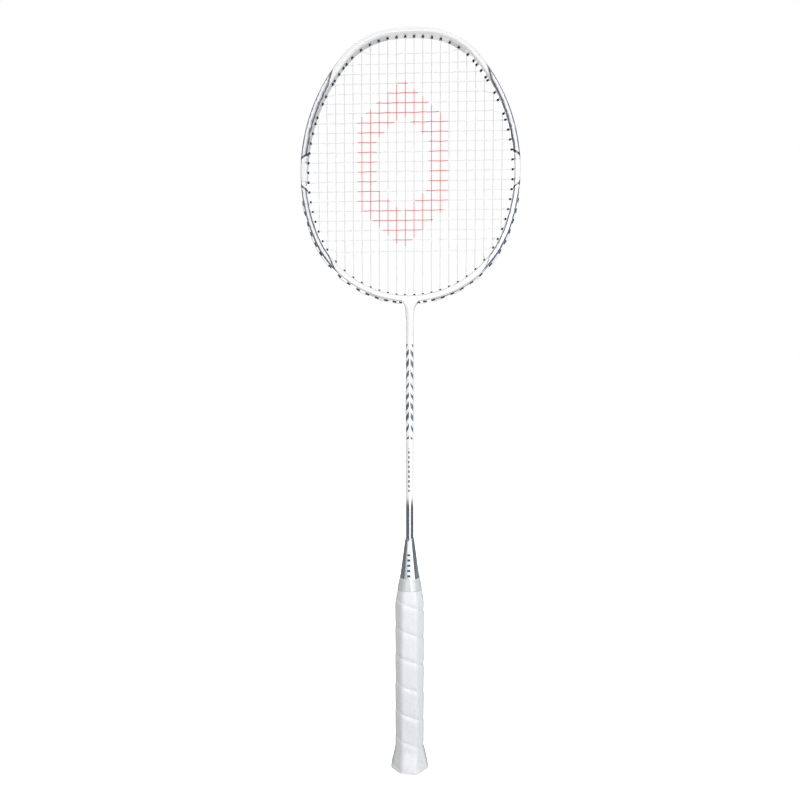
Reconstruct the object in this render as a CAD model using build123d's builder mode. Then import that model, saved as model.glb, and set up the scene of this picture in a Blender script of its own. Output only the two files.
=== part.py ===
"""Badminton racket: a strung hoop on a slim shaft, with a cone cap and a wrapped octagonal handle.

Millimetres. The origin is the centre of the butt's end face, +Z runs up the shaft to the crown,
+X lies across the face and the strings lie in the XZ plane. The front face looks along -Y.
"""

import math
import os

from build123d import *

os.makedirs("parts", exist_ok=True)

# ---------------------------------------------------------------- driving dimensions
# Hoop: a hollow tube on a centreline of four tangent arcs a side, from the crown to the throat.
# A heading is the clockwise angle from the crown, in degrees, negative on the left.
tube_width = 6.0  # across the tube, in the plane of the strings
tube_depth = 10.8  # front to back
tube_front_flat = 3.5
tube_side_flat = 6.8
tube_corner = 0.8
tube_wall = 0.9
tube_end_wall = 1.3  # at the front and the back
cavity_corner = 1.0
overall_length = 675.0
arc_radii = (160.0, 65.0, 161.0)  # crown, shoulder and side; the throat arc closes the loop
arc_ends = (6.0, 50.0, 111.0)  # heading at which each of those arcs ends

# Groove round the upper outside of the hoop, for the grommet strips
groove_depth = 1.5
groove_width = 4.6
groove_end = 523.0  # height of the groove's two ends

# Throat sleeve that takes the shaft: height, width, depth and corner radius of its sections
sleeve_sections = (
    (410.0, 7.7, 7.7, 3.8),
    (415.0, 8.1, 8.2, 3.6),
    (419.0, 9.2, 9.2, 3.2),
    (422.0, 11.6, 10.2, 2.8),
    (424.5, 15.0, 10.7, 2.2),
    (427.0, 20.0, 10.8, 1.0),
)
socket_depth = 9.0
joint_reach = 10.0  # how far round the hoop each arm of the T joint goes, in degrees

# Shaft
shaft_diameter = 7.1
shaft_bore = 4.4
shaft_foot = 62.0
joint_leg_foot = 392.0

# Strings
string_diameter = 0.68
weave = 0.37  # how far a string stands off the mid plane where it crosses another
side_by_side = 0.4  # the same, inside a shared grommet and outside the hoop
mains_per_side = 11
main_pitch_top = 8.05
main_pitch_bottom = 7.95
cross_count = 21
cross_top = 653.0
cross_pitch = 9.0
cross_bottom = 471.5
crossing_radius = 5.0
mouth_radius = 1.5
lip_radius = 0.9
lay_radius = 20.0

# Holes that a cross shares with a main, as cross: main, numbered from the top and the middle
shared_above = {1: 6, 5: 10, 7: 11}
shared_below = {19: 11, 21: 10}
# Mains beside the throat come out splayed, clear of the sleeve: main: distance from the middle
splayed_exits = {1: 8.0, 2: 13.9}

# Grommets
barrel_diameter = 2.2
barrel_bore = 1.7
barrel_reach = 1.4  # how far a barrel stands inside the hoop
strip_thickness = 0.7
pad_length = 3.4
pad_width = 3.2
pad_thickness = 1.0
string_gap = 0.08  # between a string and what it lies on
strip_joint_gap = 0.15  # half the gap between neighbouring strips, in degrees

# Tie-off knots
knot_turns = 3
knot_wire = 0.33  # radius of the string as it is pulled tight round the other
knot_pitch = 0.53
knot_stand_off = 2.6  # from the barrel's mouth to the knot's middle

# Handle: half widths of its octagons across X and Y, and half lengths of the flats on each
octagon_corner = 0.5
core_size = (11.4, 9.9, 6.2, 4.7)
core_foot_size = (10.2, 8.7, 5.7, 4.2)
core_top_size = (10.3, 9.0, 5.7, 4.4)
core_spigot_size = (8.7, 7.6, 4.8, 3.7)
core_spigot_top_size = (7.5, 7.1, 4.2, 3.8)
core_foot = 3.0
cap_top = 20.0
core_shoulder = 152.0
cone_foot = 158.0
core_top = 170.0

# Cone cap, from its skirt to the nose that grips the shaft
cone_skirt_size = (10.3, 9.5, 5.9, 5.1)
cone_waist = 171.3
cone_waist_size = (9.05, 8.6, 5.2, 4.75)
cone_shoulder = 206.7
cone_shoulder_size = (4.3, 4.3, 1.8, 1.8)
cone_top = 208.7
nose_wall = 0.2

# Butt cap under the grip, and the grip over it: height, then the octagon
butt_sections = (
    (0.0, (15.1, 13.0, 6.4, 4.4)),
    (8.3, (13.8, 11.9, 6.3, 4.5)),
    (14.0, (12.4, 10.8, 6.2, 4.7)),
    (cap_top, core_size),
)
plate_radii = (11.5, 9.4)
plate_thickness = 1.0
plate_recess = 1.3
plate_edge = 0.4
grip_sections = (
    (1.2, (16.6, 14.5, 6.95, 5.0)),
    (8.3, (15.25, 13.35, 6.9, 5.1)),
    (14.0, (13.75, 12.2, 6.8, 5.2)),
    (18.5, (12.75, 11.3, 6.8, 5.3)),
    (151.5, (13.1, 11.6, 7.0, 5.5)),
    (160.0, (11.35, 10.4, 6.3, 5.3)),
    (166.0, (10.25, 9.55, 5.85, 5.1)),
)
tape_sections = (
    (160.0, (11.4, 10.45, 6.3, 5.35)),
    (166.0, (10.3, 9.6, 5.85, 5.15)),
    (cone_waist, (9.12, 8.67, 5.2, 4.8)),
)
tape_thickness = 0.3

# Staple that holds the grip's first turn to the butt cap
staple_height = 7.0
staple_span = 8.0
staple_wire = 0.9
staple_leg = 3.0
staple_seat = 14.05  # how far out the staple's crown lies, on the cap's flare

clearance = 0.05  # radial gap between pieces that fit inside one another


# ---------------------------------------------------------------- hoop geometry
def hoop_arcs():
    """The right half of the centreline as (centre x, centre z, radius, first heading, last heading)."""
    crown, shoulder, side = arc_radii
    sines = [math.sin(math.radians(end)) for end in arc_ends]
    cosines = [math.cos(math.radians(end)) for end in arc_ends]
    crown_z = overall_length - tube_width / 2 - crown
    shoulder_x = (crown - shoulder) * sines[0]
    shoulder_z = crown_z + (crown - shoulder) * cosines[0]
    side_x = shoulder_x + (shoulder - side) * sines[1]
    side_z = shoulder_z + (shoulder - side) * cosines[1]
    throat = side + side_x / sines[2]
    throat_z = side_z + (side - throat) * cosines[2]
    return (
        (0.0, crown_z, crown, 0.0, arc_ends[0]),
        (shoulder_x, shoulder_z, shoulder, arc_ends[0], arc_ends[1]),
        (side_x, side_z, side, arc_ends[1], arc_ends[2]),
        (0.0, throat_z, throat, arc_ends[2], 180.0),
    )


arcs = hoop_arcs()


def hoop_point(heading, offset=0.0):
    """The point at a heading, offset outwards from the centreline."""
    angle = math.radians(heading)
    side = math.copysign(1, heading)
    for x, z, radius, first, last in arcs:
        if first <= abs(heading) <= last:
            reach = radius + offset
            return Vector(side * x + reach * math.sin(angle), 0, z + reach * math.cos(angle))


def hoop_plane(heading, offset=0.0):
    """A plane across the tube: local X points outwards and the normal runs clockwise."""
    angle = math.radians(heading)
    outwards = (math.sin(angle), 0, math.cos(angle))
    clockwise = (math.cos(angle), 0, -math.sin(angle))
    return Plane(hoop_point(heading, offset), x_dir=outwards, z_dir=clockwise)


def hoop_run(start, end):
    """Draws the centreline clockwise from one heading to another, in the XZ plane."""
    for side, order in ((-1, arcs[::-1]), (1, arcs)):
        for x, z, radius, first, last in order:
            low = max(start, min(side * first, side * last))
            high = min(end, max(side * first, side * last))
            if low < high:
                CenterArc((side * x, z), radius, 90 - low, low - high)


def heading_at_x(distance, offset, below=False):
    """Heading on the right half where the offset line is this far from the middle."""
    for x, _, radius, first, last in arcs:
        heading = math.degrees(math.asin(min(1.0, abs(distance - x) / (radius + offset))))
        heading = 180 - heading if below else heading
        if first <= heading <= last and distance >= x:
            return heading


def heading_at_z(height, offset):
    """Heading on the right half where the offset line is at this height."""
    for _, z, radius, first, last in arcs:
        if abs(height - z) <= radius + offset:
            heading = math.degrees(math.acos((height - z) / (radius + offset)))
            if first <= heading <= last:
                return heading


# ---------------------------------------------------------------- string bed layout
mouth_offset = -tube_width / 2 - barrel_reach
groove_heading = heading_at_z(groove_end, 0)
side_flat_offset = tube_width / 2
barrel_length = side_flat_offset - mouth_offset
drill_length = barrel_length + 2

main_numbers = range(1, mains_per_side + 1)
cross_numbers = range(1, cross_count + 1)
cross_heights = {n: cross_top - cross_pitch * (n - 1) for n in cross_numbers}
cross_heights[cross_count] = cross_bottom

# Each hole is (heading of its mouth inside the hoop, heading of its outer end), right half
main_holes_above = {}
main_holes_below = {}
for number in main_numbers:
    above = heading_at_x(main_pitch_top * (number - 0.5), mouth_offset)
    below = heading_at_x(main_pitch_bottom * (number - 0.5), mouth_offset, below=True)
    main_holes_above[number] = (above, above)
    main_holes_below[number] = (below, below)
    if number in splayed_exits:
        exit_heading = heading_at_x(splayed_exits[number], side_flat_offset, below=True)
        main_holes_below[number] = (below, exit_heading)

cross_holes = {}
for number in cross_numbers:
    heading = heading_at_z(cross_heights[number], mouth_offset)
    cross_holes[number] = (heading, heading)
for number, main in shared_above.items():
    cross_holes[number] = main_holes_above[main]
for number, main in shared_below.items():
    cross_holes[number] = main_holes_below[main]

right_holes = sorted({*main_holes_above.values(), *main_holes_below.values(), *cross_holes.values()})
left_holes = [(-mouth, -outer) for mouth, outer in right_holes]
holes = right_holes + left_holes


def hole_plane(hole, offset=mouth_offset):
    """A plane across a hole's axis at an offset from the centreline; its normal points outwards."""
    mouth = hoop_point(hole[0], mouth_offset)
    bore = hoop_point(hole[1], side_flat_offset) - mouth
    share = (offset - mouth_offset) / barrel_length
    return Plane(mouth + bore * share, x_dir=(0, 1, 0), z_dir=bore.normalized())


def hole_length(hole):
    """Length of a hole's axis from a barrel's mouth to the hoop's outer face."""
    return (hoop_point(hole[1], side_flat_offset) - hoop_point(hole[0], mouth_offset)).length


def hole_locations(chosen, offset=mouth_offset):
    """Locations at an offset along the chosen holes' axes."""
    return [hole_plane(hole, offset).location for hole in chosen]


def drill_holes(chosen):
    """Drills the chosen holes through the piece being built, wide enough for a barrel."""
    with Locations(*hole_locations(chosen)):
        Cylinder(
            barrel_diameter / 2 + clearance,
            drill_length,
            align=(Align.CENTER, Align.CENTER, Align.MIN),
            mode=Mode.SUBTRACT,
        )


# ---------------------------------------------------------------- shared sections
def octagon(height, size, margin=0.0):
    """A handle section: an octagon with its corners eased, grown by a margin all round."""
    half_x, half_y, flat_x, flat_y = size
    ease = margin * math.tan(math.radians(22.5))
    right, back = half_x + margin, half_y + margin
    flat_right, flat_back = flat_x + ease, flat_y + ease
    with BuildSketch(Plane.XY.offset(height)) as section:
        Polygon(
            (flat_right, back),
            (right, flat_back),
            (right, -flat_back),
            (flat_right, -back),
            (-flat_right, -back),
            (-right, -flat_back),
            (-right, flat_back),
            (-flat_right, back),
            align=None,
        )
        fillet(section.vertices(), octagon_corner)
    return section.sketch


def octagon_run(sections, margin=0.0):
    """The stack of octagons of a straight-sided piece."""
    return [octagon(height, size, margin) for height, size in sections]


def tube_section(plane):
    """The hoop's cross-section: a bevelled, eased rectangle."""
    half_width, half_depth = tube_width / 2, tube_depth / 2
    half_front, half_side = tube_front_flat / 2, tube_side_flat / 2
    with BuildSketch(plane) as section:
        Polygon(
            (half_width, half_side),
            (half_front, half_depth),
            (-half_front, half_depth),
            (-half_width, half_side),
            (-half_width, -half_side),
            (-half_front, -half_depth),
            (half_front, -half_depth),
            (half_width, -half_side),
            align=None,
        )
        fillet(section.vertices(), tube_corner)
    return section.sketch


cavity_width = tube_width - 2 * tube_wall - groove_depth
cavity_depth = tube_depth - 2 * tube_end_wall
cavity_shift = -groove_depth / 2


def cavity_section(plane, gap=0.0):
    """The hollow inside the tube, kept clear of the groove."""
    with BuildSketch(plane) as section:
        with Locations((cavity_shift, 0)):
            RectangleRounded(cavity_width - 2 * gap, cavity_depth - 2 * gap, cavity_corner)
    return section.sketch


sleeve_foot = sleeve_sections[0][0]
shaft_top = sleeve_foot + socket_depth
cavity_floor = hoop_point(180, cavity_shift).Z

# ---------------------------------------------------------------- hoop with its throat sleeve
with BuildLine(Plane.XZ) as hoop_loop:
    hoop_run(-180, 180)

with BuildLine(Plane.XZ) as groove_line:
    hoop_run(-groove_heading, groove_heading)

with BuildPart() as throat_sleeve:
    for height, width, depth, corner in sleeve_sections:
        with BuildSketch(Plane.XY.offset(height)):
            RectangleRounded(width, depth, corner)
    loft()

with BuildPart() as frame_hoop:
    sweep(tube_section(hoop_plane(-180)), path=hoop_loop.wire())
    add(throat_sleeve.part)
    sweep(cavity_section(hoop_plane(-180)), path=hoop_loop.wire(), mode=Mode.SUBTRACT)
    with BuildSketch(hoop_plane(-groove_heading)) as groove_section:
        with Locations((side_flat_offset - groove_depth / 2 + 1, 0)):
            RectangleRounded(groove_depth + 2, groove_width, 0.5)
    sweep(path=groove_line.wire(), mode=Mode.SUBTRACT)
    with BuildSketch(Plane.XY.offset(sleeve_foot)):
        Circle(shaft_diameter / 2 + clearance)
    extrude(amount=socket_depth, mode=Mode.SUBTRACT)
    with BuildSketch(Plane.XY.offset(shaft_top)):
        Circle(shaft_bore / 2)
    extrude(amount=cavity_floor - shaft_top, mode=Mode.SUBTRACT)
    drill_holes(holes)
frame_hoop.part.label = "frame_hoop"

# ---------------------------------------------------------------- T joint inside the throat
with BuildLine(Plane.XZ) as left_arm_line:
    hoop_run(-180, -180 + joint_reach)

with BuildPart() as t_joint:
    sweep(cavity_section(hoop_plane(-180), clearance), path=left_arm_line.wire())
    mirror(about=Plane.YZ)
    with BuildSketch(Plane.XY.offset(joint_leg_foot)):
        Circle(shaft_bore / 2 - clearance)
    extrude(amount=cavity_floor - joint_leg_foot)
    drill_holes([hole for hole in holes if abs(hole[0]) > 180 - joint_reach])
t_joint.part.label = "t_joint"

# ---------------------------------------------------------------- shaft
with BuildPart() as shaft:
    with BuildSketch(Plane.XY.offset(shaft_foot)):
        Circle(shaft_diameter / 2)
        Circle(shaft_bore / 2, mode=Mode.SUBTRACT)
    extrude(amount=shaft_top - shaft_foot)
shaft.part.label = "shaft"

# ---------------------------------------------------------------- grommets
def bore_barrels(chosen):
    """Opens the string bores of the chosen holes."""
    with Locations(*hole_locations(chosen, mouth_offset - 1)):
        Cylinder(
            barrel_bore / 2,
            drill_length + 1,
            align=(Align.CENTER, Align.CENTER, Align.MIN),
            mode=Mode.SUBTRACT,
        )


def grommet_strip(start, end):
    """A strip in the groove between two headings, with a barrel through each hole."""
    chosen = [hole for hole in holes if start < hole[0] < end]
    floor = side_flat_offset - groove_depth
    with BuildLine(Plane.XZ) as strip_line:
        hoop_run(start, end)
    with BuildPart() as strip:
        with BuildSketch(hoop_plane(start)):
            with Locations((floor + strip_thickness / 2 + clearance, 0)):
                RectangleRounded(strip_thickness, groove_width - 4 * clearance, 0.3)
        sweep(path=strip_line.wire())
        with Locations(*hole_locations(chosen)):
            Cylinder(
                barrel_diameter / 2,
                barrel_length - groove_depth + strip_thickness / 2,
                align=(Align.CENTER, Align.CENTER, Align.MIN),
            )
        bore_barrels(chosen)
    return strip.part


top_strip_end = (main_holes_above[6][0] + main_holes_above[7][0]) / 2

grommet_strip_top = grommet_strip(-top_strip_end, top_strip_end)
grommet_strip_top.label = "grommet_strip_top"
grommet_strip_left = grommet_strip(-groove_heading + strip_joint_gap, -top_strip_end - strip_joint_gap)
grommet_strip_left.label = "grommet_strip_left"
grommet_strip_right = grommet_strip(top_strip_end + strip_joint_gap, groove_heading - strip_joint_gap)
grommet_strip_right.label = "grommet_strip_right"


def single_grommet_group(side):
    """The separate grommets of one side below the groove, each a padded barrel."""
    chosen = [hole for hole in holes if side * hole[0] > groove_heading]
    pads = [hoop_plane(outer, side_flat_offset + pad_thickness / 2).location for _, outer in chosen]
    with BuildPart() as group:
        with Locations(*pads):
            Box(pad_thickness - clearance, pad_width, pad_length)
        add(throat_sleeve.part, mode=Mode.SUBTRACT)
        for hole in chosen:
            with Locations(hole_plane(hole).location):
                Cylinder(
                    barrel_diameter / 2,
                    hole_length(hole) + pad_thickness / 2,
                    align=(Align.CENTER, Align.CENTER, Align.MIN),
                )
        bore_barrels(chosen)
    return group.part


single_grommets_left = single_grommet_group(-1)
single_grommets_left.label = "single_grommets_left"
single_grommets_right = single_grommet_group(1)
single_grommets_right.label = "single_grommets_right"

# ---------------------------------------------------------------- strings
strip_lay = side_flat_offset - groove_depth + strip_thickness + clearance + string_diameter / 2 + string_gap
pad_lay = side_flat_offset + pad_thickness + string_diameter / 2 + string_gap
turn_in = mouth_offset - 0.3  # a string bends just past a barrel's mouth
tail_end = turn_in - 0.3  # where a tied-off string's tail stops
lay_step = 6.5  # longest straight stretch outside the hoop


def lay_offset(heading):
    """How far from the centreline a string lies on the outside, at a heading."""
    return strip_lay if abs(heading) < groove_heading else pad_lay


def hole_point(hole, offset, depth):
    """A point on a hole's axis, moved to a depth front to back."""
    point = hole_plane(hole, offset).origin
    return Vector(point.X, depth, point.Z)


def outer_end(hole, depth):
    """Where a string turns from a hole to lie along the outside of the hoop."""
    return hole_point(hole, lay_offset(hole[1]), depth)


def outside_run(start, end, depth):
    """Points that keep a string on the curve of the hoop's outside, between two holes."""
    span = (hoop_point(start[1]) - hoop_point(end[1])).length
    count = math.ceil(span / lay_step)
    points = []
    for step in range(1, count):
        heading = start[1] + (end[1] - start[1]) * step / count
        point = hoop_point(heading, lay_offset(heading))
        points.append(Vector(point.X, depth, point.Z))
    return points


def mirrored(hole, side):
    """The same hole on the right (1) or the left (-1) half."""
    return (side * hole[0], side * hole[1])


def main_x(column, height):
    """Where a main stands at a height; columns run from -10.5 to 10.5 across the bed."""
    above = hoop_point(main_holes_above[round(abs(column) + 0.5)][0], mouth_offset)
    below = hoop_point(main_holes_below[round(abs(column) + 0.5)][0], mouth_offset)
    share = (above.Z - height) / (above.Z - below.Z)
    return math.copysign(above.X * (1 - share) + below.X * share, column)


main_columns = [step - (mains_per_side - 0.5) for step in range(2 * mains_per_side)]


def crosses_over(column, number):
    """1 where the main passes behind the cross, -1 where it passes in front."""
    return 1 if (main_columns.index(column) + number) % 2 else -1


def meets(column, number):
    """Whether a main and a cross cross each other inside the hoop."""
    main = round(abs(column) + 0.5)
    top = hoop_point(main_holes_above[main][0], mouth_offset).Z
    bottom = hoop_point(main_holes_below[main][0], mouth_offset).Z
    height = cross_heights[number]
    shares_hole = shared_above.get(number) == main or shared_below.get(number) == main
    return bottom + 1 < height < top - 1 and not shares_hole


def crossing(column, number, sign):
    """The crossing point of a main and a cross, on one string's own side."""
    height = cross_heights[number]
    return Vector(main_x(column, height), sign * crosses_over(column, number) * weave, height)


def main_pass(column):
    """Corner points and bend radii of one main, from its top outside to its bottom outside."""
    side = math.copysign(1, column)
    main = round(abs(column) + 0.5)
    top = mirrored(main_holes_above[main], side)
    bottom = mirrored(main_holes_below[main], side)
    inside = [crossing(column, number, 1) for number in cross_numbers if meets(column, number)]
    points = [outer_end(top, -side_by_side), hole_point(top, turn_in, -side_by_side)]
    points += inside
    points += [hole_point(bottom, turn_in, -side_by_side), outer_end(bottom, -side_by_side)]
    radii = [lip_radius, mouth_radius] + [crossing_radius] * len(inside) + [mouth_radius, lip_radius]
    return top, bottom, points, radii


def cross_pass(number):
    """Corner points and bend radii of one cross, from its left outside to its right outside."""
    left, right = mirrored(cross_holes[number], -1), mirrored(cross_holes[number], 1)
    inside = [crossing(column, number, -1) for column in main_columns if meets(column, number)]
    points = [outer_end(left, side_by_side), hole_point(left, turn_in, side_by_side)]
    points += inside
    points += [hole_point(right, turn_in, side_by_side), outer_end(right, side_by_side)]
    radii = [lip_radius, mouth_radius] + [crossing_radius] * len(inside) + [mouth_radius, lip_radius]
    return left, right, points, radii


def string_route(passes, depth, first_tie, last_tie):
    """The whole route of one string: its passes back and forth, with a tie-off at each end."""
    points = [hole_point(first_tie, tail_end, depth), outer_end(first_tie, depth)]
    radii = [lip_radius]
    previous = first_tie
    for index, (start, end, inner_points, inner_radii) in enumerate(passes):
        if index % 2:
            start, end = end, start
            inner_points, inner_radii = inner_points[::-1], inner_radii[::-1]
        lay = outside_run(previous, start, depth)
        points += lay + inner_points
        radii += [lay_radius] * len(lay) + inner_radii
        previous = end
    lay = outside_run(previous, last_tie, depth)
    points += lay + [outer_end(last_tie, depth), hole_point(last_tie, tail_end, depth)]
    radii += [lay_radius] * len(lay) + [lip_radius]
    return points, radii


def string_wire(points, radii, chunk=24):
    """Straight runs joined by tangent arcs, drawn a stretch at a time."""
    edges = []
    start = points[0]
    for first in range(0, len(radii), chunk):
        bends = radii[first : first + chunk]
        corners = points[first + 1 : first + 1 + len(bends)]
        following = points[first + 1 + len(bends)]
        end = following if following is points[-1] else (corners[-1] + following) / 2
        with BuildLine() as stretch:
            FilletPolyline(start, *corners, end, radius=bends)
        edges += stretch.edges()
        start = end
    return Wire(edges)


def string_part(points, radii):
    """One string swept along its whole route."""
    route = string_wire(points, radii)
    with BuildPart() as string:
        with BuildSketch(Plane(route @ 0, z_dir=route % 0)):
            Circle(string_diameter / 2)
        sweep(path=route)
    print(f"string length {route.length:.0f} mm")
    return string.part


main_tie = cross_holes[20]
cross_tie_first = mirrored(main_holes_above[5], -1)
cross_tie_last = main_holes_below[9]

# The mains start at the bottom left, so the first one is strung upwards
main_passes = []
for column in main_columns:
    top, bottom, points, radii = main_pass(column)
    main_passes.append((bottom, top, points[::-1], radii[::-1]))
main_string = string_part(*string_route(main_passes, -side_by_side, mirrored(main_tie, -1), main_tie))
main_string.label = "main_string"

cross_passes = [cross_pass(number) for number in cross_numbers]
cross_string = string_part(*string_route(cross_passes, side_by_side, cross_tie_first, cross_tie_last))
cross_string.label = "cross_string"

# ---------------------------------------------------------------- tie-off knots
def knot_plane(hole, depth, towards):
    """A plane across the string that a knot is tied round, just inside a hole."""
    mouth = hole_point(hole, turn_in, depth)
    along = (towards - mouth).normalized()
    return Plane(mouth + along * knot_stand_off, z_dir=along)


knot_planes = [
    knot_plane(mirrored(main_tie, -1), side_by_side, crossing(-9.5, 20, -1)),
    knot_plane(main_tie, side_by_side, crossing(9.5, 20, -1)),
    knot_plane(cross_tie_first, -side_by_side, crossing(-4.5, 1, 1)),
    knot_plane(cross_tie_last, -side_by_side, crossing(8.5, 21, 1)),
]

with BuildPart() as string_knots:
    for plane in knot_planes:
        for turn in range(knot_turns):
            with Locations(plane.offset((turn - (knot_turns - 1) / 2) * knot_pitch).location):
                Torus(string_diameter / 2 + clearance + knot_wire, knot_wire)
string_knots.part.label = "string_knots"

# ---------------------------------------------------------------- handle core
with BuildPart() as handle_core:
    loft([octagon(core_foot, core_foot_size), octagon(cap_top, core_foot_size)], ruled=True)
    loft(
        [
            octagon(cap_top, core_size),
            octagon(core_shoulder, core_size),
            octagon(cone_foot, core_top_size),
        ],
        ruled=True,
    )
    loft([octagon(cone_foot, core_spigot_size), octagon(core_top, core_spigot_top_size)], ruled=True)
    with BuildSketch(Plane.XY.offset(shaft_foot)):
        Circle(shaft_diameter / 2 + clearance)
    extrude(amount=core_top - shaft_foot, mode=Mode.SUBTRACT)
handle_core.part.label = "handle_core"

# ---------------------------------------------------------------- cone cap
with BuildPart() as cone_cap:
    loft(
        [
            octagon(cone_foot, cone_skirt_size),
            octagon(cone_waist, cone_waist_size),
            octagon(cone_shoulder, cone_shoulder_size),
        ],
        ruled=True,
    )
    with BuildSketch(Plane.XY.offset(cone_shoulder)):
        Circle(cone_shoulder_size[0])
    with BuildSketch(Plane.XY.offset(cone_top)):
        Circle(shaft_diameter / 2 + nose_wall)
    loft()
    loft(
        [
            octagon(cone_foot, core_spigot_size, clearance),
            octagon(core_top, core_spigot_top_size, clearance),
        ],
        ruled=True,
        mode=Mode.SUBTRACT,
    )
    with BuildSketch(Plane.XY.offset(core_top)):
        Circle(shaft_diameter / 2 + clearance)
    extrude(amount=cone_top - core_top, mode=Mode.SUBTRACT)
cone_cap.part.label = "cone_cap"

# ---------------------------------------------------------------- butt cap and its end plate
staple_plane = Plane((0, 0, staple_height), x_dir=(0, 1, 0), z_dir=(1, 0, 0))

with BuildPart() as grip_staple:
    with BuildSketch(staple_plane.offset(staple_seat)):
        SlotOverall(staple_span, staple_wire)
    extrude(amount=staple_wire)
    with BuildSketch(staple_plane.offset(staple_seat)):
        with GridLocations(staple_span - staple_wire, 0, 2, 1):
            Circle(staple_wire / 2)
    extrude(amount=-staple_leg)
grip_staple.part.label = "grip_staple"

with BuildPart() as butt_cap:
    loft(octagon_run(butt_sections), ruled=True)
    loft(
        [octagon(core_foot, core_foot_size, clearance), octagon(cap_top, core_foot_size, clearance)],
        ruled=True,
        mode=Mode.SUBTRACT,
    )
    with BuildSketch(Plane.XY):
        Ellipse(plate_radii[0] + clearance, plate_radii[1] + clearance)
    extrude(amount=plate_recess, mode=Mode.SUBTRACT)
    add(grip_staple.part, mode=Mode.SUBTRACT)
butt_cap.part.label = "butt_cap"

with BuildPart() as butt_plate:
    with BuildSketch(Plane.XY.offset(plate_recess - plate_thickness)):
        Ellipse(*plate_radii)
    extrude(amount=plate_thickness)
    fillet(butt_plate.faces().sort_by(Axis.Z)[0].edges(), plate_edge)
butt_plate.part.label = "butt_plate"

# ---------------------------------------------------------------- grip and finishing tape
with BuildPart() as grip:
    loft(octagon_run(grip_sections), ruled=True)
    loft(octagon_run(butt_sections, clearance), ruled=True, mode=Mode.SUBTRACT)
    loft(
        [
            octagon(cap_top, core_size, clearance),
            octagon(core_shoulder, core_size, clearance),
            octagon(cone_foot, cone_skirt_size, clearance),
            octagon(cone_waist, cone_waist_size, clearance),
        ],
        ruled=True,
        mode=Mode.SUBTRACT,
    )
    add(grip_staple.part, mode=Mode.SUBTRACT)
grip.part.label = "grip"

with BuildPart() as finishing_tape:
    loft(octagon_run(tape_sections, tape_thickness), ruled=True)
    loft(octagon_run(tape_sections), ruled=True, mode=Mode.SUBTRACT)
finishing_tape.part.label = "finishing_tape"

# ---------------------------------------------------------------- write every piece
pieces = [
    frame_hoop.part,
    t_joint.part,
    shaft.part,
    grommet_strip_top,
    grommet_strip_left,
    grommet_strip_right,
    single_grommets_left,
    single_grommets_right,
    main_string,
    cross_string,
    string_knots.part,
    handle_core.part,
    cone_cap.part,
    grip_staple.part,
    butt_cap.part,
    butt_plate.part,
    grip.part,
    finishing_tape.part,
]
for piece in pieces:
    export_step(piece, f"parts/{piece.label}.step")
    print(f"{piece.label}: {len(piece.solids())} solids, {piece.volume:.0f} mm3")
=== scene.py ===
"""Badminton racket: paint, strings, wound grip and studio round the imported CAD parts.

Metres, in the row's frame: +Z up the shaft, +X across the strings, the front face along -Y.
"""

import math

import bmesh
import bpy
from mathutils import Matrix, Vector, noise


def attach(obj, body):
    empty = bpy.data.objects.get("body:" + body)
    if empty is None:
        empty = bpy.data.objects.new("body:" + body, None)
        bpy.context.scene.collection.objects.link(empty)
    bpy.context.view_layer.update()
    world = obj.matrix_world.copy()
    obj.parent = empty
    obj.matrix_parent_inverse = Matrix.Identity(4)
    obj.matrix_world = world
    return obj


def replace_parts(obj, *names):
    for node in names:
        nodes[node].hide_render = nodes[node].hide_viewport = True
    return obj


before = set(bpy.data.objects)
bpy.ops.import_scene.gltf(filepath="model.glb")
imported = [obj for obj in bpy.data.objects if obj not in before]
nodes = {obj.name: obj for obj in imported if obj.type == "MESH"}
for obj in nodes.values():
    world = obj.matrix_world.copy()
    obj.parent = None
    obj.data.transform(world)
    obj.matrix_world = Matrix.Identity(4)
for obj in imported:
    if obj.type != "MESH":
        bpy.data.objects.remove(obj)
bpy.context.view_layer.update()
MM = 0.001

# ---------------------------------------------------------------- camera
lens_length = 24.5  # mm, as is the sensor's width
sensor_width = 36.0
view_distance = 0.5
view_height = 0.335
view_turn = math.radians(2.5)
view_aim = Vector((-0.0089, 0.0, view_height))
view_direction = Vector((-math.sin(view_turn), math.cos(view_turn), 0.0))

camera_data = bpy.data.cameras.new("camera")
camera_data.lens = lens_length
camera_data.sensor_width = sensor_width
camera = bpy.data.objects.new("camera", camera_data)
bpy.context.collection.objects.link(camera)
camera.location = view_aim - view_direction * view_distance
camera.rotation_euler = view_direction.to_track_quat("-Z", "Y").to_euler()
bpy.context.scene.camera = camera
bpy.context.scene.view_settings.view_transform = "Standard"


# ---------------------------------------------------------------- material building
def input_name(key):
    """The shader's name for an input written like specular_ior_level."""
    return key.replace("_", " ").title().replace("Ior", "IOR")


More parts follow.
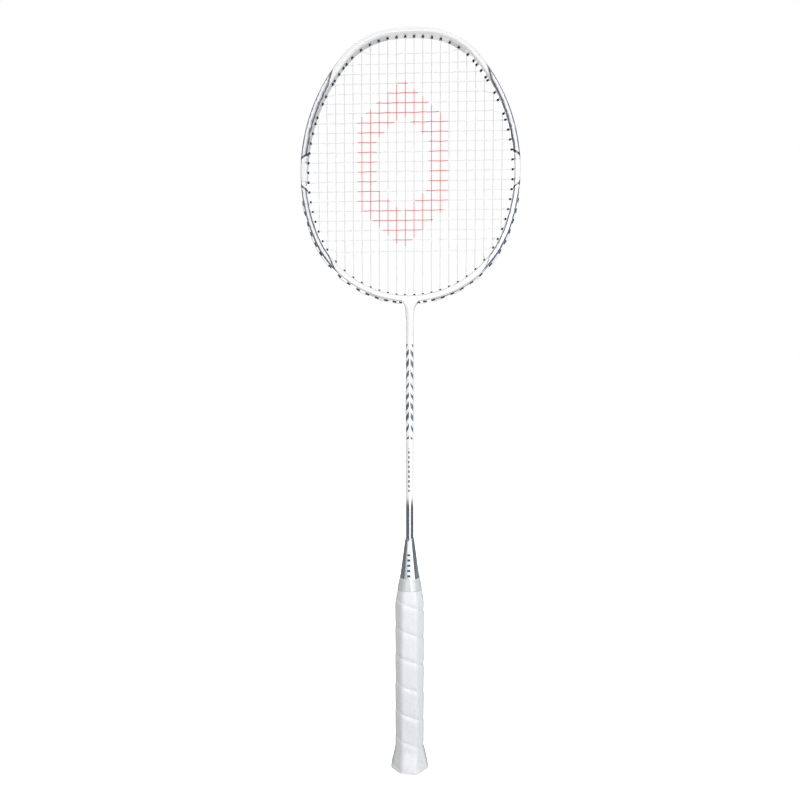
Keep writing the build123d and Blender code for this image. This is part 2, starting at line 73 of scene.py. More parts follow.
class Paint:
    """A material being built. Its calls add nodes and return their output sockets."""

    def __init__(self, name, colour=(0.8, 0.8, 0.8), **settings):
        self.material = bpy.data.materials.new(name)
        self.material.use_nodes = True
        self.tree = self.material.node_tree
        self.shader = self.tree.nodes["Principled BSDF"]
        self.shader.inputs["Base Color"].default_value = (*colour, 1.0)
        for key, value in settings.items():
            self.shader.inputs[input_name(key)].default_value = value
        self.place = self.tree.nodes.new("ShaderNodeTexCoord").outputs["Object"]
        split = self.tree.nodes.new("ShaderNodeSeparateXYZ")
        self.tree.links.new(self.place, split.inputs[0])
        self.x, self.y, self.z = split.outputs

    def feed(self, socket, value):
        """Links a socket to another, or sets it to a number or a colour."""
        if isinstance(value, bpy.types.NodeSocket):
            self.tree.links.new(value, socket)
        elif isinstance(value, tuple) and len(value) == 3 and socket.type == "RGBA":
            socket.default_value = (*value, 1.0)
        else:
            socket.default_value = value

    def math(self, operation, *values):
        node = self.tree.nodes.new("ShaderNodeMath")
        node.operation = operation
        for socket, value in zip(node.inputs, values):
            self.feed(socket, value)
        return node.outputs[0]

    def step(self, value, start, end):
        """0 up to start, 1 from end on, eased between; end may be below start."""
        node = self.tree.nodes.new("ShaderNodeMapRange")
        node.interpolation_type = "SMOOTHSTEP"
        self.feed(node.inputs["Value"], value)
        self.feed(node.inputs["From Min"], start)
        self.feed(node.inputs["From Max"], end)
        return node.outputs["Result"]

    def band(self, value, centre, half, soft=0.08 * MM):
        """1 where a value is within half of the centre, eased over soft."""
        distance = self.math("ABSOLUTE", self.math("SUBTRACT", value, centre))
        return self.step(self.math("SUBTRACT", half, distance), -soft, soft)

    def all_of(self, *shares):
        result = shares[0]
        for share in shares[1:]:
            result = self.math("MULTIPLY", result, share)
        return result

    def any_of(self, *shares):
        result = shares[0]
        for share in shares[1:]:
            result = self.math("MAXIMUM", result, share)
        return result

    def between(self, share, first, second):
        """A number blended from first to second."""
        node = self.tree.nodes.new("ShaderNodeMix")
        self.feed(node.inputs[0], share)
        self.feed(node.inputs[2], first)
        self.feed(node.inputs[3], second)
        return node.outputs[0]

    def colour(self, share, first, second):
        """A colour blended from first to second."""
        node = self.tree.nodes.new("ShaderNodeMix")
        node.data_type = "RGBA"
        self.feed(node.inputs[0], share)
        self.feed(node.inputs[6], first)
        self.feed(node.inputs[7], second)
        return node.outputs[2]

    def noise(self, scale, detail=2.0, stretch=(1.0, 1.0, 1.0), place=None):
        """Noise from 0 to 1 with about one blob per 1/scale metres along each stretched axis."""
        mapping = self.tree.nodes.new("ShaderNodeMapping")
        mapping.inputs["Scale"].default_value = stretch
        self.feed(mapping.inputs["Vector"], place or self.place)
        node = self.tree.nodes.new("ShaderNodeTexNoise")
        node.inputs["Scale"].default_value = scale
        node.inputs["Detail"].default_value = detail
        self.tree.links.new(mapping.outputs[0], node.inputs["Vector"])
        return node.outputs["Fac"]

    def vector(self, x, y, z):
        node = self.tree.nodes.new("ShaderNodeCombineXYZ")
        for socket, value in zip(node.inputs, (x, y, z)):
            self.feed(socket, value)
        return node.outputs[0]

    def bump(self, height, distance, strength=1.0):
        """Raises the surface by distance, in metres, where height is 1."""
        node = self.tree.nodes.new("ShaderNodeBump")
        node.inputs["Strength"].default_value = strength
        node.inputs["Distance"].default_value = distance
        self.feed(node.inputs["Height"], height)
        self.feed(self.shader.inputs["Normal"], node.outputs[0])

    def crowned(self, radius, half):
        """Height of a facet crowned across X with a radius, level beyond half either side."""
        reach = self.math("MINIMUM", self.math("ABSOLUTE", self.x), half)
        return self.math("DIVIDE", self.math("POWER", reach, 2.0), -2.0 * radius)

    def finish(self, **values):
        for key, value in values.items():
            self.feed(self.shader.inputs[input_name(key)], value)
        return self.material


def wear(piece, material):
    """Gives a piece one material all over."""
    piece.data.materials.clear()
    piece.data.materials.append(material)


WHITE = (0.95, 0.95, 0.94)
PEARL = (0.91, 0.915, 0.915)
NAVY = (0.012, 0.016, 0.045)
TEAL = (0.05, 0.10, 0.12)
SILVER_DARK = (0.085, 0.10, 0.14)
SILVER_LIGHT = (0.60, 0.63, 0.68)
STREAK_EDGE = (0.045, 0.055, 0.10)
STREAK_BLUE = (0.07, 0.12, 0.30)


# ---------------------------------------------------------------- hoop paint
# The hoop's arcs on each half: centre distance from the middle, centre height, radius
shoulder_arc = (9.93 * MM, 606.48 * MM, 65.0 * MM)
side_arc = (-63.61 * MM, 544.77 * MM, 161.0 * MM)
throat_arc = (0.0, 520.35 * MM, 92.86 * MM)
shoulder_heading = math.radians(50)
throat_heading = math.radians(111)
side_flat_half = 3.4 * MM
corner_offset = (2.6 * MM, 2.9 * MM)  # offsets between which the section turns onto its side

streak_top = 638 * MM
streak_foot = 452 * MM
streak_merge = 16 * MM  # length over which the inner streak leaves or meets the outer one
streak_split = 3.5 * MM  # how far round the section it moves there
streak_wander = 0.9 * MM
outer_streak = 1.95 * MM  # place of the outer streak round the section
inner_streak = (-1.8 * MM, -1.45 * MM)  # place above and below the block
inner_streak_half = (1.0 * MM, 0.6 * MM)
# Half widths of the outer streak and of its blue line, which thins where the streak is broad
outer_streak_half = (0.1 * MM, 1.3 * MM)
outer_line_half = (0.85 * MM, 0.2 * MM)
block_top = 552.2 * MM
block_foot = 535.3 * MM
bar_gap = (5.9 * MM, 6.0 * MM)  # from the block's top up to its bar, and from its foot down
bar_half = (1.3 * MM, 1.1 * MM)
bar_lean = (0.7, 0.85)
tick_half = 0.35 * MM
patch_gap = 2.2 * MM
patch_half = 1.9 * MM


def hoop_section(paint):
    """How far round the tube's section a point is from mid front, outwards positive."""
    middle = paint.math("ABSOLUTE", paint.x)
    reaches = []
    for x, z, radius in (shoulder_arc, side_arc, throat_arc):
        across = paint.math("POWER", paint.math("SUBTRACT", middle, x), 2.0)
        up = paint.math("POWER", paint.math("SUBTRACT", paint.z, z), 2.0)
        reach = paint.math("SQRT", paint.math("ADD", across, up))
        reaches.append(paint.math("SUBTRACT", reach, radius))
    shares = []
    for (x, z, _), heading in ((shoulder_arc, shoulder_heading), (throat_arc, throat_heading)):
        up = paint.math("MULTIPLY", paint.math("SUBTRACT", paint.z, z), math.sin(heading))
        across = paint.math("MULTIPLY", paint.math("SUBTRACT", middle, x), math.cos(heading))
        shares.append(paint.step(paint.math("SUBTRACT", up, across), -0.1 * MM, 0.1 * MM))
    lower = paint.between(shares[1], reaches[2], reaches[1])
    offset = paint.between(shares[0], lower, reaches[0])
    on_side = paint.step(paint.math("ABSOLUTE", offset), *corner_offset)
    depth = paint.math("ABSOLUTE", paint.y)
    run = paint.math("MAXIMUM", paint.math("SUBTRACT", side_flat_half, depth), 0.0)
    run = paint.math("MULTIPLY", run, on_side)
    length = paint.math("ADD", paint.math("ABSOLUTE", offset), run)
    return paint.math("MULTIPLY", length, paint.math("SIGN", offset))


def hoop_paint():
    """Pearl white with two brushed silver streaks a side, cut by a block between navy bars, which
    are painted paler on the front flat as a painted highlight.
    """
    paint = Paint("hoop_paint", roughness=0.28, coat_weight=0.8, coat_roughness=0.06)
    section = hoop_section(paint)
    slow = paint.noise(140, 2.0)
    wave = paint.math("MULTIPLY", paint.math("SUBTRACT", slow, 0.5), streak_wander)

    leave = paint.step(paint.z, streak_top - streak_merge, streak_top)
    meet = paint.step(paint.z, streak_foot + streak_merge, streak_foot)
    merge = paint.math("MULTIPLY", paint.math("ADD", leave, meet), streak_split)
    lower_part = paint.step(paint.z, block_top, block_foot)
    inner_rest = paint.between(lower_part, *inner_streak)
    inner_centre = paint.math("ADD", paint.math("ADD", merge, inner_rest), wave)
    outer_centre = paint.math("ADD", wave, outer_streak)

    tip_top = paint.step(paint.z, streak_top + 3 * MM, streak_top - 6 * MM)
    tip_foot = paint.step(paint.z, streak_foot - 2 * MM, streak_foot + 6 * MM)
    off_block = paint.any_of(
        paint.step(paint.z, block_top + 6.5 * MM, block_top + 8 * MM),
        paint.step(paint.z, block_foot - 7 * MM, block_foot - 9 * MM),
    )
    present = paint.all_of(tip_top, tip_foot, off_block)
    sketch = paint.noise(420, 3.0)
    outer_half = paint.math("MULTIPLY", present, paint.between(sketch, *outer_streak_half))
    inner_reach = paint.between(lower_part, *inner_streak_half)
    inner_half = paint.math("MULTIPLY", present, inner_reach)

    outer = paint.all_of(present, paint.band(section, outer_centre, outer_half, 0.15 * MM))
    inner = paint.all_of(present, paint.band(section, inner_centre, inner_half, 0.2 * MM))
    line_half = paint.between(sketch, *outer_line_half)
    outer_line = paint.all_of(
        present,
        paint.band(section, paint.math("ADD", outer_centre, 0.3 * MM), line_half, 0.12 * MM),
    )
    inner_line = paint.all_of(
        present,
        paint.band(section, paint.math("SUBTRACT", inner_centre, 0.2 * MM), 0.4 * MM, 0.2 * MM),
    )

    hatch_place = paint.vector(paint.math("MULTIPLY", section, 2.2), 0.0, paint.z)
    hatch = paint.noise(260, 4.0, (3.0, 1.0, 1.0), hatch_place)
    hatch = paint.step(hatch, 0.42, 0.56)
    silver = paint.colour(hatch, SILVER_DARK, SILVER_LIGHT)

    on_bevel = paint.step(paint.math("ABSOLUTE", section), 0.5 * MM, 1.1 * MM)
    # Painted highlight: the navy bars are painted a quarter paler across the front flat, where
    # glare falls.
    bar_share_painted_glare = paint.between(on_bevel, 0.75, 1.0)
    lean_up = paint.math("ADD", paint.z, paint.math("MULTIPLY", section, bar_lean[0]))
    lean_down = paint.math("SUBTRACT", paint.z, paint.math("MULTIPLY", section, bar_lean[1]))
    widen = paint.math("MULTIPLY", paint.step(section, 1.2 * MM, 2.6 * MM), 1.5 * MM)
    halves = [paint.math("ADD", widen, half) for half in bar_half]
    bar_top = paint.band(lean_up, block_top + bar_gap[0], halves[0])
    bar_foot = paint.band(lean_down, block_foot - bar_gap[1], halves[1])
    bars = paint.all_of(bar_share_painted_glare, paint.any_of(bar_top, bar_foot))
    ticks = paint.any_of(
        paint.band(paint.z, block_top, tick_half),
        paint.band(paint.z, block_foot, tick_half),
    )
    ticks = paint.all_of(on_bevel, ticks)
    patches = paint.any_of(
        paint.band(paint.z, block_top + patch_gap, patch_half, 0.5 * MM),
        paint.band(paint.z, block_foot - patch_gap, patch_half, 0.5 * MM),
    )
    patches = paint.all_of(patches, paint.band(section, -2.6 * MM, 1.1 * MM, 0.3 * MM), hatch)

    pearl = paint.colour(paint.noise(2600, 2.0), WHITE, PEARL)
    colour = paint.colour(paint.math("MULTIPLY", inner, 0.85), pearl, silver)
    colour = paint.colour(paint.math("MULTIPLY", patches, 0.7), colour, SILVER_DARK)
    colour = paint.colour(paint.math("MULTIPLY", outer, 0.9), colour, silver)
    colour = paint.colour(paint.math("MULTIPLY", outer_line, 0.9), colour, STREAK_BLUE)
    colour = paint.colour(paint.math("MULTIPLY", inner_line, 0.85), colour, STREAK_EDGE)
    colour = paint.colour(paint.math("MULTIPLY", ticks, 0.55), colour, SILVER_DARK)
    colour = paint.colour(bars, colour, NAVY)
    streaks = paint.any_of(inner, outer)
    paint.bump(paint.noise(1500, 3.0), 0.005 * MM)
    return paint.finish(base_color=colour, metallic=paint.math("MULTIPLY", streaks, 0.5))


# ---------------------------------------------------------------- shaft and cone paint
fade_top = 248 * MM
fade_foot = 236 * MM
emblem_top = 386 * MM
emblem_foot = 299 * MM
dashes_top = 291 * MM
dashes_foot = 251 * MM
chevron_pitch = 9.7 * MM
chevron_slope = 1.6
chevron_share = 0.46  # of the pitch that is inked
chevron_swell = 0.12  # how much that share swells and shrinks
swell_rate = 140.0  # radians per metre
chevron_inner = 0.55 * MM  # from the shaft's middle to the chevrons
chevron_outer = 3.35 * MM
dash_pitch = 4.4 * MM
cone_bars_top = 197 * MM
cone_bars_foot = 174 * MM
cone_bar_pitch = 4.6 * MM
cone_crown = (30 * MM, 5.5 * MM)  # radius and half width of the crown on its front and back
METAL = (0.36, 0.385, 0.42)


def repeats(paint, value, pitch, share):
    """1 over a share of every pitch of a value."""
    turn = paint.math("FRACT", paint.math("DIVIDE", value, pitch))
    return paint.math("LESS_THAN", turn, share)


def front_only(paint):
    """1 on the front half."""
    return paint.step(paint.y, 0.0, -0.6 * MM)


def shaft_paint():
    """White with abstract chevrons and a dashed line, fading to metallic silver above the cone."""
    paint = Paint("shaft_paint", coat_weight=0.9, coat_roughness=0.05)
    across = paint.math("ABSOLUTE", paint.x)
    climb = paint.math("ADD", paint.z, paint.math("MULTIPLY", across, chevron_slope))
    swell = paint.math("SINE", paint.math("MULTIPLY", paint.z, swell_rate))
    share = paint.math("ADD", paint.math("MULTIPLY", swell, chevron_swell), chevron_share)
    chevrons = repeats(paint, climb, chevron_pitch, share)
    emblem = paint.all_of(
        chevrons,
        paint.step(paint.z, emblem_foot, emblem_foot + 0.5 * MM),
        paint.step(paint.z, emblem_top, emblem_top - 0.5 * MM),
        paint.step(across, chevron_inner, chevron_inner + 0.25 * MM),
        paint.step(across, chevron_outer, chevron_outer - 0.15 * MM),
        front_only(paint),
    )
    dashes = paint.all_of(
        repeats(paint, paint.z, dash_pitch, 0.55),
        paint.step(paint.z, dashes_foot, dashes_foot + 0.2 * MM),
        paint.step(paint.z, dashes_top, dashes_top - 0.2 * MM),
        paint.band(paint.x, -0.5 * MM, 0.75 * MM),
        front_only(paint),
    )
    fade = paint.step(paint.z, fade_top, fade_foot)
    flake = paint.noise(2600, 2.0)
    pearl = paint.colour(flake, WHITE, PEARL)
    metal = paint.colour(flake, METAL, (0.32, 0.345, 0.38))
    colour = paint.colour(fade, pearl, metal)
    ink = paint.colour(paint.step(paint.x, -0.6 * MM, 1.4 * MM), NAVY, TEAL)
    colour = paint.colour(paint.math("MULTIPLY", emblem, 0.95), colour, ink)
    colour = paint.colour(paint.math("MULTIPLY", dashes, 0.95), colour, NAVY)
    paint.bump(paint.noise(1500, 3.0), 0.004 * MM)
    return paint.finish(
        base_color=colour,
        metallic=paint.math("MULTIPLY", fade, 0.95),
        roughness=paint.between(fade, 0.25, 0.17),
    )


def cone_paint():
    """Metallic silver on slightly crowned facets, with a column of plain bars down the front."""
    paint = Paint("cone_paint", metallic=0.95, coat_weight=0.4, coat_roughness=0.08)
    bars = paint.all_of(
        repeats(paint, paint.z, cone_bar_pitch, 0.42),
        paint.step(paint.z, cone_bars_foot, cone_bars_foot + 0.2 * MM),
        paint.step(paint.z, cone_bars_top, cone_bars_top - 0.2 * MM),
        paint.band(paint.x, -0.6 * MM, 1.5 * MM),
        front_only(paint),
    )
    flake = paint.noise(2800, 2.0)
    metal = paint.colour(flake, METAL, (0.33, 0.355, 0.39))
    brush = paint.noise(900, 3.0, (1.0, 1.0, 0.06))
    rough = paint.between(brush, 0.3, 0.42)
    crown = paint.crowned(*cone_crown)
    paint.bump(paint.math("ADD", crown, paint.math("MULTIPLY", flake, 0.002 * MM)), 1.0)
    return paint.finish(base_color=paint.colour(bars, metal, NAVY), roughness=rough)


# ---------------------------------------------------------------- strings and grommets
stencil_middle = (-6.5 * MM, 552 * MM)
stencil_half = (42 * MM, 79 * MM)
stencil_hollow = 0.56  # the ring's inside as a share of its outside
stencil_edge = 0.015  # softness of the ring's edges, as a share of its size
INK = (0.85, 0.008, 0.010)


def string_nylon(name, dull, bright):
    """Pale nylon with a fine wrap, and a stencilled red hexagon ring mid bed."""
    paint = Paint(name, roughness=0.35)
    across = paint.math("ABSOLUTE", paint.math("SUBTRACT", paint.x, stencil_middle[0]))
    up = paint.math("ABSOLUTE", paint.math("SUBTRACT", paint.z, stencil_middle[1]))
    across = paint.math("DIVIDE", across, stencil_half[0])
    up = paint.math("DIVIDE", up, stencil_half[1])
    slope = paint.math("ADD", paint.math("MULTIPLY", across, 0.5), up)
    size = paint.math("MAXIMUM", across, slope)
    ring = paint.all_of(
        paint.step(size, 1.0, 1.0 - stencil_edge),
        paint.step(size, stencil_hollow, stencil_hollow + stencil_edge),
    )
    blot = paint.noise(900, 3.0)
    ink = paint.math("MULTIPLY", ring, paint.between(blot, 0.75, 1.0))
    wrap = paint.noise(4200, 1.0)
    nylon = paint.colour(wrap, dull, bright)
    paint.bump(wrap, 0.01 * MM)
    gloss = paint.between(ink, 0.5, 0.1)
    colour = paint.colour(ink, nylon, INK)
    return paint.finish(base_color=colour, specular_ior_level=gloss)


def grommet_nylon():
    """Moulded dark navy nylon, a little mottled."""
    paint = Paint("grommet_nylon", specular_ior_level=0.2)
    mottle = paint.noise(1800, 3.0)
    colour = paint.colour(mottle, (0.004, 0.006, 0.018), (0.009, 0.012, 0.030))
    paint.bump(mottle, 0.02 * MM)
    return paint.finish(base_color=colour, roughness=paint.between(mottle, 0.38, 0.55))


# ---------------------------------------------------------------- hidden and butt materials
def core_wood():
    """Pale wood with grain along the handle."""
    paint = Paint("core_wood", roughness=0.7)
    grain = paint.noise(500, 4.0, (1.0, 1.0, 0.05))
    colour = paint.colour(grain, (0.50, 0.36, 0.20), (0.72, 0.56, 0.36))
    paint.bump(grain, 0.05 * MM)
    return paint.finish(base_color=colour)


def plain_metal(name, colour, roughness):
    """Bare metal with fine brushing."""
    paint = Paint(name, metallic=1.0)
    brush = paint.noise(1200, 3.0, (1.0, 1.0, 0.1))
    shade = paint.colour(brush, colour, tuple(0.85 * part for part in colour))
    rough = paint.between(brush, roughness, roughness + 0.12)
    return paint.finish(base_color=shade, roughness=rough)


def cap_plastic():
    """Moulded off-white plastic with a fine spark-eroded texture."""
    paint = Paint("cap_plastic")
    texture = paint.noise(2200, 3.0)
    colour = paint.colour(texture, (0.66, 0.66, 0.65), (0.74, 0.74, 0.73))
    paint.bump(texture, 0.03 * MM)
    return paint.finish(base_color=colour, roughness=paint.between(texture, 0.4, 0.55))


plate_half = (11.5 * MM, 9.4 * MM)


def plate_finish():
    """Silver plate with two fine raised rings."""
    paint = Paint("plate_finish", metallic=0.7)
    across = paint.math("POWER", paint.math("DIVIDE", paint.x, plate_half[0]), 2.0)
    up = paint.math("POWER", paint.math("DIVIDE", paint.y, plate_half[1]), 2.0)
    size = paint.math("SQRT", paint.math("ADD", across, up))
    rings = paint.any_of(paint.band(size, 0.8, 0.02, 0.01), paint.band(size, 0.45, 0.02, 0.01))
    brush = paint.noise(1500, 3.0, (0.1, 1.0, 1.0))
    colour = paint.colour(brush, (0.60, 0.62, 0.65), (0.70, 0.72, 0.75))
    paint.bump(rings, 0.15 * MM)
    return paint.finish(base_color=colour, roughness=paint.between(brush, 0.25, 0.4))


# ---------------------------------------------------------------- octagonal wound pieces
# Lengths of these meshes are in millimetres; surface_point turns them into metres.
# Height, half widths across X and Y, and half lengths of the flats on each
grip_sections = (
    (1.2, 16.6, 14.5, 6.95, 5.0),
    (8.3, 15.25, 13.35, 6.9, 5.1),
    (14.0, 13.75, 12.2, 6.8, 5.2),
    (18.5, 12.75, 11.3, 6.8, 5.3),
    (151.5, 13.1, 11.6, 7.0, 5.5),
    (160.0, 11.35, 10.4, 6.3, 5.3),
    (166.0, 10.25, 9.55, 5.85, 5.1),
    (171.3, 9.12, 8.67, 5.2, 4.8),
)
flat_steps = 8
corner_steps = 4
corner_ease = 2.2  # how far from each corner its rounding starts
bend_ease = 2.4  # how far above and below a height the sections are averaged


def size_at(height):
    """The octagon at a height, straight between the sections."""
    for low, high in zip(grip_sections, grip_sections[1:]):
        if height <= high[0] or high is grip_sections[-1]:
            share = (height - low[0]) / (high[0] - low[0])
            return [a + (b - a) * share for a, b in zip(low[1:], high[1:])]


def soft_size_at(height):
    """The octagon at a height, with the bends between the sections eased."""
    samples = [size_at(height + bend_ease * (step / 3 - 1)) for step in range(7)]
    return [sum(values) / len(samples) for values in zip(*samples)]


def outline(height, margin):
    """Points round the octagon from the front right corner, anticlockwise from above."""
    half_x, half_y, flat_x, flat_y = soft_size_at(height)
    ease = margin * math.tan(math.radians(22.5))
    right, back, flat_x, flat_y = half_x + margin, half_y + margin, flat_x + ease, flat_y + ease
    corners = [
        Vector((flat_x, -back)),
        Vector((right, -flat_y)),
        Vector((right, flat_y)),
        Vector((flat_x, back)),
        Vector((-flat_x, back)),
        Vector((-right, flat_y)),
        Vector((-right, -flat_y)),
        Vector((-flat_x, -back)),
    ]
    points = []
    for index, corner in enumerate(corners):
        before = (corners[index - 1] - corner).normalized() * corner_ease
        following = corners[(index + 1) % 8]
        after = (following - corner).normalized() * corner_ease
        for step in range(corner_steps):
            share = step / corner_steps
            points.append(corner + before * (1 - share) ** 2 + after * share**2)
        start, end = corner + after, following - after
        points += [start + (end - start) * (step / flat_steps) for step in range(flat_steps)]
    return points


columns = 8 * (flat_steps + corner_steps)


def travel(height):
    """How far round the octagon each column is, from 0 to 1, and the length all round."""
    points = outline(height, 0.0)
    lengths = [(points[(i + 1) % columns] - points[i]).length for i in range(columns)]
    total = sum(lengths)
    return [sum(lengths[:i]) / total for i in range(columns)], total


mid_handle = 85.0
column_share, girth = travel(mid_handle)


def surface_point(column, height, margin, section=None):
    """A point at a height, in metres, standing out by margin from the octagon at section."""
    spot = outline(height if section is None else section, margin)[column]
    return Vector((spot.x, spot.y, height)) * MM


def mesh_piece(name, vertices, faces, material):
    """A smooth piece from vertices and faces, welded where they meet."""
    mesh = bpy.data.meshes.new(name)
    mesh.from_pydata([tuple(v) for v in vertices], [], faces)
    work = bmesh.new()
    work.from_mesh(mesh)
    bmesh.ops.remove_doubles(work, verts=work.verts, dist=0.004 * MM)
    bmesh.ops.dissolve_degenerate(work, edges=work.edges, dist=0.002 * MM)
    bmesh.ops.recalc_face_normals(work, faces=work.faces)
    work.to_mesh(mesh)
    work.free()
    mesh.shade_smooth()
    piece = bpy.data.objects.new(name, mesh)
    bpy.context.collection.objects.link(piece)
    wear(piece, material)
    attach(piece, "root")
    return piece


# ---------------------------------------------------------------- wound grip
wrap_pitch = 24.9
wrap_start = 151.0  # height of the first seam at the front left corner
wrap_turns = 8
grip_top = 166.0
grip_foot = 1.0
end_fold = 0.35  # how far in each end's first fold goes
end_depth = 1.3  # how far in each end goes
# Across one turn, from its upper edge down: distance, and how far it stands proud
turn_profile = (
    (0.0, -0.36),
    (0.6, -0.24),
    (1.2, -0.10),
    (1.9, 0.03),
    (2.6, 0.11),
    (3.4, 0.16),
    (4.4, 0.18),
    (7.0, 0.16),
    (11.0, 0.10),
    (15.0, 0.05),
    (18.5, 0.03),
    (20.5, 0.0),
    (21.8, -0.06),
    (22.8, -0.15),
    (23.7, -0.27),
    (24.4, -0.37),
    (24.9, -0.42),
)
front_left_share = column_share[7 * (flat_steps + corner_steps) + corner_steps]


def seam_height(share):
    """Height of the seam at a share of the way round; it falls as it goes round."""
    return wrap_start - wrap_pitch * (share - front_left_share)


def proud_at(distance):
    """How far the tape stands proud at a distance below the seam above it."""
    for low, high in zip(turn_profile, turn_profile[1:]):
        if distance <= high[0]:
            share = (distance - low[0]) / (high[0] - low[0])
            return low[1] + (high[1] - low[1]) * share
    return turn_profile[-1][1]


def crumple(column, height):
    """The slight unevenness of the padding."""
    angle = 2 * math.pi * column_share[column]
    spot = Vector((3 * math.cos(angle), 3 * math.sin(angle), height / 9))
    return 0.14 * noise.noise(spot) + 0.06 * noise.noise(spot * 3.1)


def wound_grip():
    """The tape's turns as one surface, its rows following the seams, closed at both ends."""
    vertices, faces = [], []
    rows = len(turn_profile)
    for turn in range(-1, wrap_turns + 1):
        for column in range(columns):
            seam = seam_height(column_share[column]) - wrap_pitch * turn
            for distance, proud in turn_profile:
                height = min(grip_top, max(grip_foot, seam - distance))
                if height != seam - distance:
                    proud = proud_at((seam_height(column_share[column]) - height) % wrap_pitch)
                vertices.append(surface_point(column, height, proud + crumple(column, height)))
    strip = columns * rows
    for turn in range(wrap_turns + 1):
        for column in range(columns):
            here = turn * strip + column * rows
            there = here + rows
            for row in range(rows - 1):
                faces.append((here + row, here + row + 1, there + row + 1, there + row))
            below = here + strip
            if turn < wrap_turns:
                faces.append((here + rows - 1, below, below + rows, there + rows - 1))
    for height, lip in ((grip_foot, -0.5), (grip_top, 0.2)):
        first = len(vertices)
        for column in range(columns):
            proud = proud_at((seam_height(column_share[column]) - height) % wrap_pitch)
            outer = proud + crumple(column, height)
            for inward, rise in ((0.0, 0.0), (end_fold, 0.6 * lip), (end_depth, 0.8 * lip)):
                vertices.append(surface_point(column, height + rise, outer - inward, height))
        for column in range(columns):
            here = first + 3 * column
            there = first + 3 * ((column + 1) % columns)
            faces.append((here, here + 1, there + 1, there))
            faces.append((here + 1, here + 2, there + 2, there + 1))
    return mesh_piece("grip_wrap", vertices, faces, grip_leather())


hole_pitch = 5.0 * MM  # of the grip's perforations


def grip_leather():
    """Off-white synthetic leather: fine grain, and a slanted grid of faint perforations, recessed
    in the bump and painted pale as painted glints.
    """
    paint = Paint("grip_leather", coat_weight=0.35, coat_roughness=0.16, sheen_weight=0.1)
    angle = paint.math("ARCTAN2", paint.x, paint.math("MULTIPLY", paint.y, -1.0))
    along = paint.math("MULTIPLY", angle, girth / (2 * math.pi) * MM)
    across = paint.math("ADD", paint.z, paint.math("MULTIPLY", along, wrap_pitch / girth))
    row = paint.math("DIVIDE", across, hole_pitch)
    shift = paint.math("MULTIPLY", paint.math("FLOOR", row), 0.5)
    column = paint.math("ADD", paint.math("DIVIDE", along, hole_pitch), shift)
    row_part = paint.math("SUBTRACT", paint.math("FRACT", row), 0.5)
    column_part = paint.math("SUBTRACT", paint.math("FRACT", column), 0.5)
    parts = [paint.math("POWER", part, 2.0) for part in (row_part, column_part)]
    spread = paint.math("SQRT", paint.math("ADD", *parts))
    shown = paint.step(paint.noise(90, 1.0), 0.42, 0.6)
    hole_and_glint = paint.math("MULTIPLY", paint.step(spread, 0.13, 0.07), shown)
    grain = paint.noise(1600, 4.0)
    soil = paint.noise(60, 3.0)
    colour = paint.colour(soil, (0.69, 0.705, 0.72), (0.755, 0.77, 0.785))
    colour = paint.colour(paint.math("MULTIPLY", grain, 0.25), colour, (0.68, 0.69, 0.70))
    # Painted highlight: the perforations are painted near white to stand in for glints on them.
    colour = paint.colour(paint.math("MULTIPLY", hole_and_glint, 0.6), colour, (0.95, 0.96, 0.96))
    crease = paint.noise(420, 3.0, (1.0, 1.0, 0.25))
    height = paint.math("SUBTRACT", paint.math("MULTIPLY", grain, 0.12), hole_and_glint)
    height = paint.math("ADD", height, paint.math("MULTIPLY", crease, 0.35))
    paint.bump(height, 0.35 * MM)
    return paint.finish(base_color=colour, roughness=paint.between(grain, 0.34, 0.52))


# ---------------------------------------------------------------- finishing tape
# From its foot up: height, and how far it stands out from the grip and the cone
tape_rows = (
    (162.5, 0.0),
    (162.5, 0.32),
    (162.8, 0.42),
    (163.4, 0.45),
    (165.0, 0.42),
    (166.5, 0.40),
    (168.0, 0.40),
    (169.5, 0.40),
    (171.0, 0.40),
    (172.0, 0.44),
    (172.4, 0.58),
    (172.8, 0.66),
    (173.1, 0.58),
    (173.2, 0.35),
    (173.1, -0.3),
)
rolled_edge = 172.0 * MM
tape_crown = (20 * MM, 4.2 * MM)  # radius and half width of the film's crown, front and back
fold_highlight_place = 3.6 * MM  # furthest right that the fold in front, with its painted highlight, gets
fold_highlight_wander = 3.2 * MM
fold_highlight_half = 0.75 * MM


def tape_film():
    """Thin gloss film, a little grey, with faint tension lines and one raised fold in front whose
    pale colour is a painted highlight.
    """
    paint = Paint("tape_film", coat_weight=0.5, coat_roughness=0.05)
    pull = paint.noise(900, 3.0, (1.0, 1.0, 0.12))
    edge = paint.step(paint.z, rolled_edge, rolled_edge + 0.6 * MM)
    colour = paint.colour(pull, (0.51, 0.545, 0.545), (0.57, 0.605, 0.605))
    colour = paint.colour(edge, colour, (0.72, 0.74, 0.74))
    wander = paint.math("MULTIPLY", paint.noise(160, 2.0), fold_highlight_wander)
    fold_with_highlight = paint.band(paint.math("ADD", paint.x, wander), fold_highlight_place, fold_highlight_half, 0.5 * MM)
    fold_with_highlight = paint.math("MULTIPLY", fold_with_highlight, front_only(paint))
    # Painted highlight: the fold is painted near white to stand in for a glint on the film; its
    # rise below is a real ridge.
    colour = paint.colour(paint.math("MULTIPLY", fold_with_highlight, 0.8), colour, (0.92, 0.94, 0.94))
    height = paint.crowned(*tape_crown)
    for share, rise in ((fold_with_highlight, 0.1 * MM), (pull, 0.06 * MM)):
        height = paint.math("ADD", height, paint.math("MULTIPLY", share, rise))
    paint.bump(height, 1.0)
    return paint.finish(base_color=colour, roughness=paint.between(pull, 0.4, 0.5))


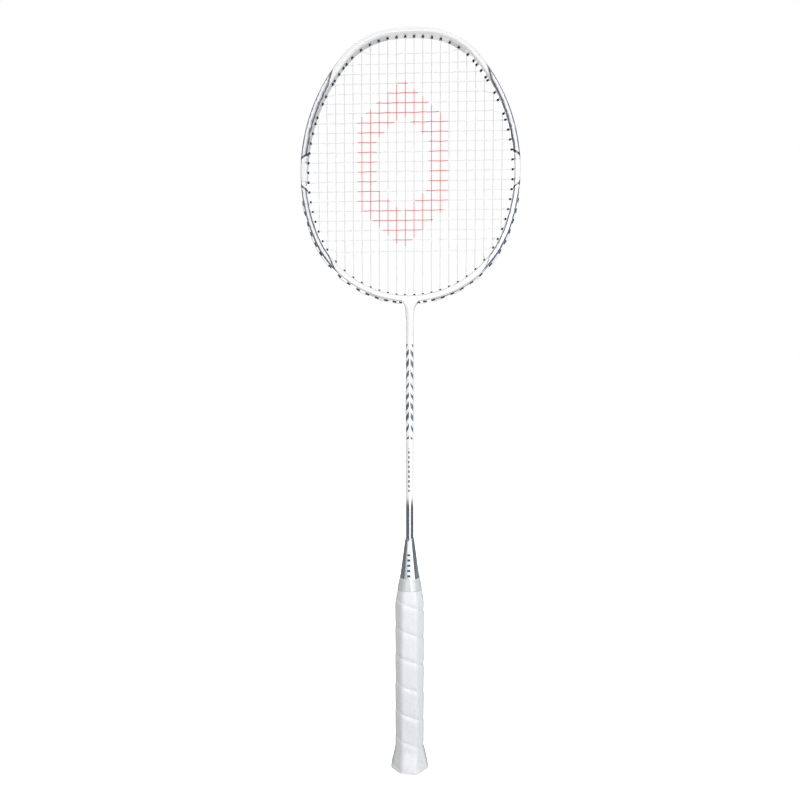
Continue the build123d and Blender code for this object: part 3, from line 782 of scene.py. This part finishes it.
def wound_tape():
    """The tape's band as one surface, slightly puckered, with its top edge rolled."""
    vertices, faces = [], []
    for height, margin in tape_rows:
        for column in range(columns):
            angle = 2 * math.pi * column_share[column]
            spot = Vector((5 * math.cos(angle), 5 * math.sin(angle), height / 14))
            pucker = 0.07 * noise.noise(spot)
            vertices.append(surface_point(column, height, margin + pucker))
    for row in range(len(tape_rows) - 1):
        for column in range(columns):
            here = row * columns + column
            there = row * columns + (column + 1) % columns
            faces.append((here, there, there + columns, here + columns))
    return mesh_piece("finishing_band", vertices, faces, tape_film())


# ---------------------------------------------------------------- put the finishes on
wear(nodes["frame_hoop"], hoop_paint())
wear(nodes["shaft"], shaft_paint())
wear(nodes["cone_cap"], cone_paint())
wear(nodes["t_joint"], plain_metal("joint_metal", (0.55, 0.56, 0.58), 0.35))
wear(nodes["grip_staple"], plain_metal("staple_wire", (0.60, 0.60, 0.60), 0.25))
wear(nodes["handle_core"], core_wood())
wear(nodes["butt_cap"], cap_plastic())
wear(nodes["butt_plate"], plate_finish())
main_nylon = string_nylon("main_nylon", (0.66, 0.67, 0.68), (0.76, 0.77, 0.78))
cross_nylon = string_nylon("cross_nylon", (0.86, 0.86, 0.87), (0.93, 0.93, 0.93))
wear(nodes["main_string"], main_nylon)
wear(nodes["cross_string"], cross_nylon)
wear(nodes["string_knots"], cross_nylon)
moulded = grommet_nylon()
for name in nodes:
    if "grommet" in name:
        wear(nodes[name], moulded)

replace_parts(wound_grip(), "grip")
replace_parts(wound_tape(), "finishing_tape")


# ---------------------------------------------------------------- studio
def lamp(name, place, target, size, power, colour):
    """A square softbox aimed at a point."""
    data = bpy.data.lights.new(name, "AREA")
    data.shape = "SQUARE"
    data.size = size
    data.energy = power
    data.color = colour
    light = bpy.data.objects.new(name, data)
    bpy.context.collection.objects.link(light)
    light.visible_camera = False
    light.location = place
    light.rotation_euler = (Vector(target) - Vector(place)).to_track_quat("-Z", "Y").to_euler()


lamp("front_softbox", (0.45, -1.5, 0.6), (0, 0, 0.34), 1.1, 14.2, (1.0, 1.0, 1.0))
lamp("right_softbox", (1.35, -0.6, 0.6), (0, 0, 0.34), 0.8, 5.0, (0.74, 0.89, 1.0))
lamp("left_softbox", (-1.5, -0.3, 0.6), (0, 0, 0.34), 0.8, 2.0, (1.0, 0.97, 0.92))
lamp("back_softbox", (-0.4, 1.6, 0.9), (0, 0, 0.34), 1.1, 13.0, (1.0, 1.0, 1.0))
lamp("front_reflector", (0.15, -0.8, 0.03), (0, 0, 0.25), 0.6, 3.3, (1.0, 1.0, 0.98))
lamp("back_reflector", (-0.15, 0.8, 0.03), (0, 0, 0.6), 0.6, 2.4, (1.0, 1.0, 0.98))

sun_data = bpy.data.lights.new("ceiling", "SUN")
sun_data.energy = 0.5
sun_data.angle = math.radians(50)
sun = bpy.data.objects.new("ceiling", sun_data)
sun.location = (0, 0, 3)
bpy.context.collection.objects.link(sun)

world = bpy.data.worlds.new("studio")
world.use_nodes = True
background = world.node_tree.nodes["Background"]
background.inputs["Color"].default_value = (1.0, 1.0, 1.0, 1.0)
seen = world.node_tree.nodes.new("ShaderNodeLightPath").outputs["Is Camera Ray"]
strength = world.node_tree.nodes.new("ShaderNodeMapRange")
strength.inputs["To Min"].default_value = 0.30  # what lights the racket
strength.inputs["To Max"].default_value = 1.0  # what the camera sees
world.node_tree.links.new(seen, strength.inputs["Value"])
world.node_tree.links.new(strength.outputs["Result"], background.inputs["Strength"])
bpy.context.scene.world = world

floor_mesh = bpy.data.meshes.new("floor")
floor_corners = [(-8, -8, 0), (8, -8, 0), (8, 8, 0), (-8, 8, 0)]
floor_mesh.from_pydata(floor_corners, [], [(0, 1, 2, 3)])
floor = bpy.data.objects.new("floor", floor_mesh)
bpy.context.collection.objects.link(floor)
floor_white = Paint("floor_white", (0.9, 0.9, 0.9), roughness=0.8, emission_strength=0.8)
wear(floor, floor_white.finish(emission_color=(1.0, 1.0, 1.0)))
floor.visible_diffuse = False
floor.visible_glossy = False
